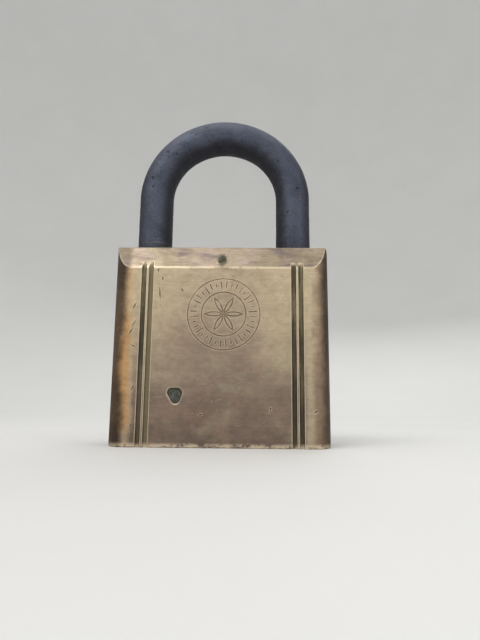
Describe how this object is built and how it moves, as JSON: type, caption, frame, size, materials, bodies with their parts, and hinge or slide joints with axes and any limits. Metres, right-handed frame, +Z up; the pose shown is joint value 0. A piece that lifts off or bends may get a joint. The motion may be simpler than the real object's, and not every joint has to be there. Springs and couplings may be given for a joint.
{
  "type": "padlock",
  "caption": "Worn solid brass padlock with a blackened steel shackle, grooved faces and a working pin-tumbler lock inside.",
  "frame": {"origin": "middle of the flat base of the case", "axes": "+Z up along the shackle's legs, front face towards -Y, heel leg on -X and toe leg on +X"},
  "size_m": [0.0572, 0.0274, 0.0921],
  "materials": {
    "aged_brass": "aged, dull, scratched, brown patina",
    "blackened_steel": "blackened, finely pitted",
    "cylinder_brass": "machined, dulled",
    "plain_steel": "machined",
    "dark_pin": "corroded end",
    "spring_steel": "drawn wire"
  },
  "bodies": {
    "case": {"case": "aged_brass", "shackle_spring": "spring_steel", "heel_stud": "plain_steel", "cylinder_shell": "cylinder_brass", "plug_pin": "plain_steel", "retaining_pin": "dark_pin", "driver_pin_1": "plain_steel", "driver_pin_2": "plain_steel", "driver_pin_3": "plain_steel", "driver_pin_4": "plain_steel", "driver_pin_5": "plain_steel", "pin_spring_1": "spring_steel", "pin_spring_2": "spring_steel", "pin_spring_3": "spring_steel", "pin_spring_4": "spring_steel", "pin_spring_5": "spring_steel", "chamber_cap_1": "aged_brass", "chamber_cap_2": "aged_brass", "chamber_cap_3": "aged_brass", "chamber_cap_4": "aged_brass", "chamber_cap_5": "aged_brass"},
    "plug": {"cylinder_plug": "cylinder_brass", "tailpiece": "plain_steel", "key_pin_1": "cylinder_brass", "key_pin_2": "cylinder_brass", "key_pin_3": "cylinder_brass", "key_pin_4": "cylinder_brass", "key_pin_5": "cylinder_brass"},
    "bolt": {"bolt": "plain_steel"},
    "shackle": {"shackle": "blackened_steel"}
  },
  "joints": [
    {"name": "plug_turn", "type": "hinge", "parent": "case", "child": "plug", "pos_m": [0, -0.0036, 0.014], "axis": [0, 0, 1], "range_deg": [0, 90]},
    {"name": "bolt_draw", "type": "slide", "parent": "case", "child": "bolt", "axis": [-1, 0, 0], "range_m": [0, 0.0064]},
    {"name": "shackle_lift", "type": "slide", "parent": "case", "child": "shackle", "axis": [0, 0, 1], "range_m": [0, 0.0146], "deforming": ["shackle_spring"]}
  ],
  "couplings": [
    {"joint": "bolt_draw", "follows": "shackle_lift", "ratio": 0.43836},
    {"joint": "plug_turn", "follows": "shackle_lift", "rad_per_m": 107.59}
  ]
}
